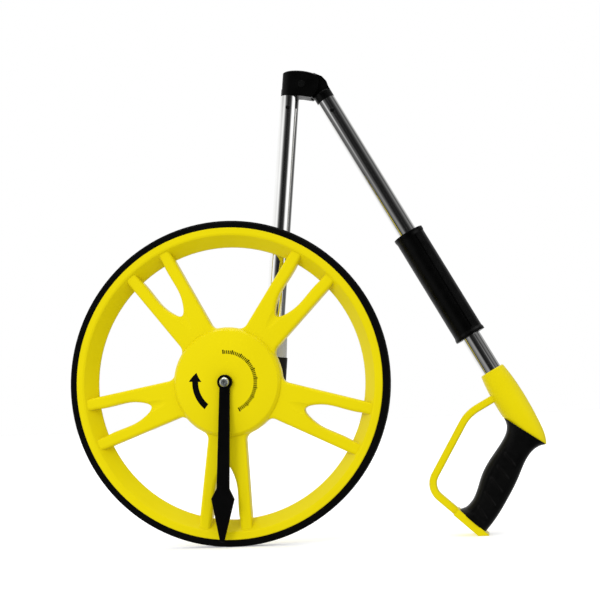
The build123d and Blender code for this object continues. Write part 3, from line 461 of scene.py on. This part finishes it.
def glyph(text):
    """Points and faces of a figure about its own middle, in millimetres, cut into level strips."""
    curve = bpy.data.curves.new("figure", "FONT")
    curve.body = text
    curve.align_x = "CENTER"
    curve.align_y = "CENTER"
    curve.size = DIGIT_HEIGHT
    curve.resolution_u = 4
    holder = bpy.data.objects.new("figure", curve)
    shape = bmesh.new()
    shape.from_mesh(holder.to_mesh())
    holder.to_mesh_clear()
    bmesh.ops.triangulate(shape, faces=shape.faces[:])
    for cut in range(-FIGURE_CUTS, FIGURE_CUTS + 1):
        everything = shape.verts[:] + shape.edges[:] + shape.faces[:]
        height = (0, cut * FIGURE_STRIP, 0)
        bmesh.ops.bisect_plane(shape, geom=everything, plane_co=height, plane_no=(0, 1, 0))
    shape.verts.index_update()
    points = [v.co.copy() for v in shape.verts]
    faces = [tuple(v.index for v in f.verts) for f in shape.faces]
    shape.free()
    bpy.data.objects.remove(holder)
    bpy.data.curves.remove(curve)
    return points, faces


def make_digits():
    """Figures 0 to 9 printed round each number wheel, with 0 at the window."""
    figures = [glyph(str(value)) for value in range(10)]
    for wheel in range(5):
        points, faces = [], []
        depth = FIRST_DIGIT_DEPTH + DIGIT_PITCH * wheel
        for value, (shape, sides) in enumerate(figures):
            base = len(points)
            for spot in shape:
                turn = math.radians(36.0 * value) + spot.y / NUMBER_R
                radius = NUMBER_R + FIGURE_LIFT
                across = NUMBER_AXIS[0] + radius * math.sin(turn)
                up = NUMBER_AXIS[1] + radius * math.cos(turn)
                points.append(carrier_point(across, up, depth - spot.x))
            faces += [tuple(base + i for i in side) for side in sides]
        solid(f"figures_{wheel + 1}", "pointer_black", f"digit_{wheel + 1}", points, faces, False)


make_grip()
make_hub_print()
make_digits()


# ---------------------------------------------------------------- light, floor and camera
FLOOR_SIZE = 12.0
FLOOR_GLOW = 0.3
LENS = 75.0
SENSOR = 36.0
CAMERA_AZIMUTH = math.radians(8.46)
CAMERA_HEIGHT = math.radians(4.15)
AXLE_SEEN_AT = Vector((-71.3, -80.3, -1220.1)) * MM


def floor():
    mesh = bpy.data.meshes.new("floor")
    half = FLOOR_SIZE / 2
    corners = [(-half, -half, 0), (half, -half, 0), (half, half, 0), (-half, half, 0)]
    mesh.from_pydata(corners, [], [(0, 1, 2, 3)])
    obj = bpy.data.objects.new("floor", mesh)
    bpy.context.scene.collection.objects.link(obj)
    finish = Finish("floor_white")
    finish.shader.inputs["Roughness"].default_value = 0.85
    finish.shader.inputs["Emission Color"].default_value = (1.0, 1.0, 1.0, 1.0)
    finish.shader.inputs["Emission Strength"].default_value = FLOOR_GLOW
    finish.colour(finish.ramp(finish.noise(3.0, 2.0), [(0.3, (0.93,) * 3), (0.7, (0.95,) * 3)]))
    mesh.materials.append(finish.material)
    obj.visible_glossy = False
    obj.visible_diffuse = False


def area_light(name, place, aim, size, power):
    data = bpy.data.lights.new(name, "AREA")
    data.shape = "SQUARE"
    data.size = size
    data.energy = power
    obj = bpy.data.objects.new(name, data)
    obj.location = place
    obj.rotation_euler = (Vector(aim) - Vector(place)).to_track_quat("-Z", "Y").to_euler()
    obj.visible_glossy = False
    bpy.context.scene.collection.objects.link(obj)


KEY_PLACE = (-0.9, -1.9, 1.1)
KEY_AIM = (0, 0, 0.2)
KEY_SIZE = 0.7
KEY_POWER = 12

FULL_TURN = 2 * math.pi
# Brightness seen in reflections, by compass angle from the camera's side (0), right (90), back (180).
NEAR_HORIZON = [
    (-180, 1.0), (-110, 1.05), (-75, 0.90), (-58, 1.1), (-46, 0.80), (-36, 0.12), (-8, 0.012),
    (16, 0.018), (31, 0.05), (42, 0.55), (51, 1.2), (72, 1.2), (84, 0.45), (104, 0.15),
    (128, 0.07), (150, 0.30), (180, 1.0),
]
ABOVE_AND_BELOW = [
    (-180, 1.0), (-118, 0.95), (-100, 0.30), (-86, 0.10), (-54, 0.17), (-30, 0.33), (-16, 0.15), (0, 0.05),
    (16, 0.012), (32, 0.015), (54, 0.06), (70, 0.18), (88, 0.18), (104, 0.05), (128, 0.4), (180, 1.0),
]
# Rise of the horizon's middle, and where the reflections leave it on either side.
HORIZON = 0.11
HORIZON_BAND = (0.17, 0.29)
# A bright soft box straight overhead, which only upward bevels and curves reflect.
OVERHEAD = 2.6
OVERHEAD_EDGE = (0.74, 0.86)
# Brightness of the soft light, from straight below (-180) past the horizon (0) to straight above (180).
SOFT_LIGHT = [(-180, 0.74), (0, 0.94), (180, 1.04)]


def studio():
    """White sweep with soft light. Mirrors see it broken by the dark side behind the camera."""
    world = bpy.data.worlds.new("studio")
    bpy.context.scene.world = world
    world.use_nodes = True
    tree = world.node_tree
    background = tree.nodes["Background"]
    split = tree.nodes.new("ShaderNodeSeparateXYZ")
    tree.links.new(tree.nodes.new("ShaderNodeTexCoord").outputs["Generated"], split.inputs["Vector"])

    def math_node(operation, first, second):
        node = tree.nodes.new("ShaderNodeMath")
        node.operation = operation
        for socket, value in zip(node.inputs, (first, second)):
            if isinstance(value, (int, float)):
                socket.default_value = value
            else:
                tree.links.new(value, socket)
        return node.outputs["Value"]

    def levels(factor, stops):
        node = tree.nodes.new("ShaderNodeValToRGB")
        elements = node.color_ramp.elements
        while len(elements) < len(stops):
            elements.new(0.5)
        for element, (angle, level) in zip(elements, stops):
            element.position = angle / 360 + 0.5
            element.color = (level, level, level, 1.0)
        tree.links.new(factor, node.inputs["Fac"])
        return node.outputs["Color"]

    def choose(factor, first, second):
        node = tree.nodes.new("ShaderNodeMix")
        node.data_type = "RGBA"
        tree.links.new(factor, node.inputs["Factor"])
        sockets = [s for s in node.inputs if s.type == "RGBA"]
        for socket, value in zip(sockets, (first, second)):
            if isinstance(value, float):
                socket.default_value = (value, value, value, 1.0)
            else:
                tree.links.new(value, socket)
        return [s for s in node.outputs if s.type == "RGBA"][0]

    toward_camera = math_node("MULTIPLY", split.outputs["Y"], -1.0)
    angle = math_node("ARCTAN2", split.outputs["X"], toward_camera)
    turn = math_node("ADD", math_node("DIVIDE", angle, FULL_TURN), 0.5)
    tilt = tree.nodes.new("ShaderNodeMapRange")
    tilt.interpolation_type = "SMOOTHSTEP"
    tilt.inputs["From Min"].default_value = HORIZON_BAND[0]
    tilt.inputs["From Max"].default_value = HORIZON_BAND[1]
    off_horizon = math_node("ABSOLUTE", math_node("SUBTRACT", split.outputs["Z"], HORIZON), 0.0)
    tree.links.new(off_horizon, tilt.inputs["Value"])
    mirrored = choose(tilt.outputs["Result"], levels(turn, NEAR_HORIZON), levels(turn, ABOVE_AND_BELOW))
    above = tree.nodes.new("ShaderNodeMapRange")
    above.interpolation_type = "SMOOTHSTEP"
    above.inputs["From Min"].default_value = OVERHEAD_EDGE[0]
    above.inputs["From Max"].default_value = OVERHEAD_EDGE[1]
    tree.links.new(split.outputs["Z"], above.inputs["Value"])
    mirrored = choose(above.outputs["Result"], mirrored, OVERHEAD)
    path = tree.nodes.new("ShaderNodeLightPath")
    rise = math_node("MULTIPLY_ADD", split.outputs["Z"], 0.5)
    rise.node.inputs[2].default_value = 0.5
    lit = choose(path.outputs["Is Glossy Ray"], levels(rise, SOFT_LIGHT), mirrored)
    seen = choose(path.outputs["Is Camera Ray"], lit, 1.0)
    tree.links.new(seen, background.inputs["Color"])
    area_light("key", KEY_PLACE, KEY_AIM, KEY_SIZE, KEY_POWER)


def camera():
    """Camera placed so that the axle's front end is at AXLE_SEEN_AT in its own axes."""
    ahead = Vector((
        -math.sin(CAMERA_AZIMUTH) * math.cos(CAMERA_HEIGHT),
        math.sin(CAMERA_HEIGHT),
        math.cos(CAMERA_AZIMUTH) * math.cos(CAMERA_HEIGHT),
    ))
    level = Vector((0, 1, 0)) - ahead * ahead.y
    level.normalize()
    side = level.cross(ahead)
    lean = -WHEEL_TURN
    row_x = side * math.cos(lean) + level * math.sin(lean)
    row_z = level * math.cos(lean) - side * math.sin(lean)
    row_y = -ahead
    rows = Matrix((row_x, row_y, row_z))
    data = bpy.data.cameras.new("camera")
    data.lens = LENS
    data.sensor_width = SENSOR
    data.clip_start = 0.01
    data.clip_end = 50.0
    obj = bpy.data.objects.new("camera", data)
    bpy.context.scene.collection.objects.link(obj)
    place = AXLE - rows @ AXLE_SEEN_AT
    obj.matrix_world = Matrix.Translation(place) @ rows.to_4x4()
    bpy.context.scene.camera = obj


floor()
studio()
camera()
bpy.context.scene.view_settings.view_transform = "Standard"
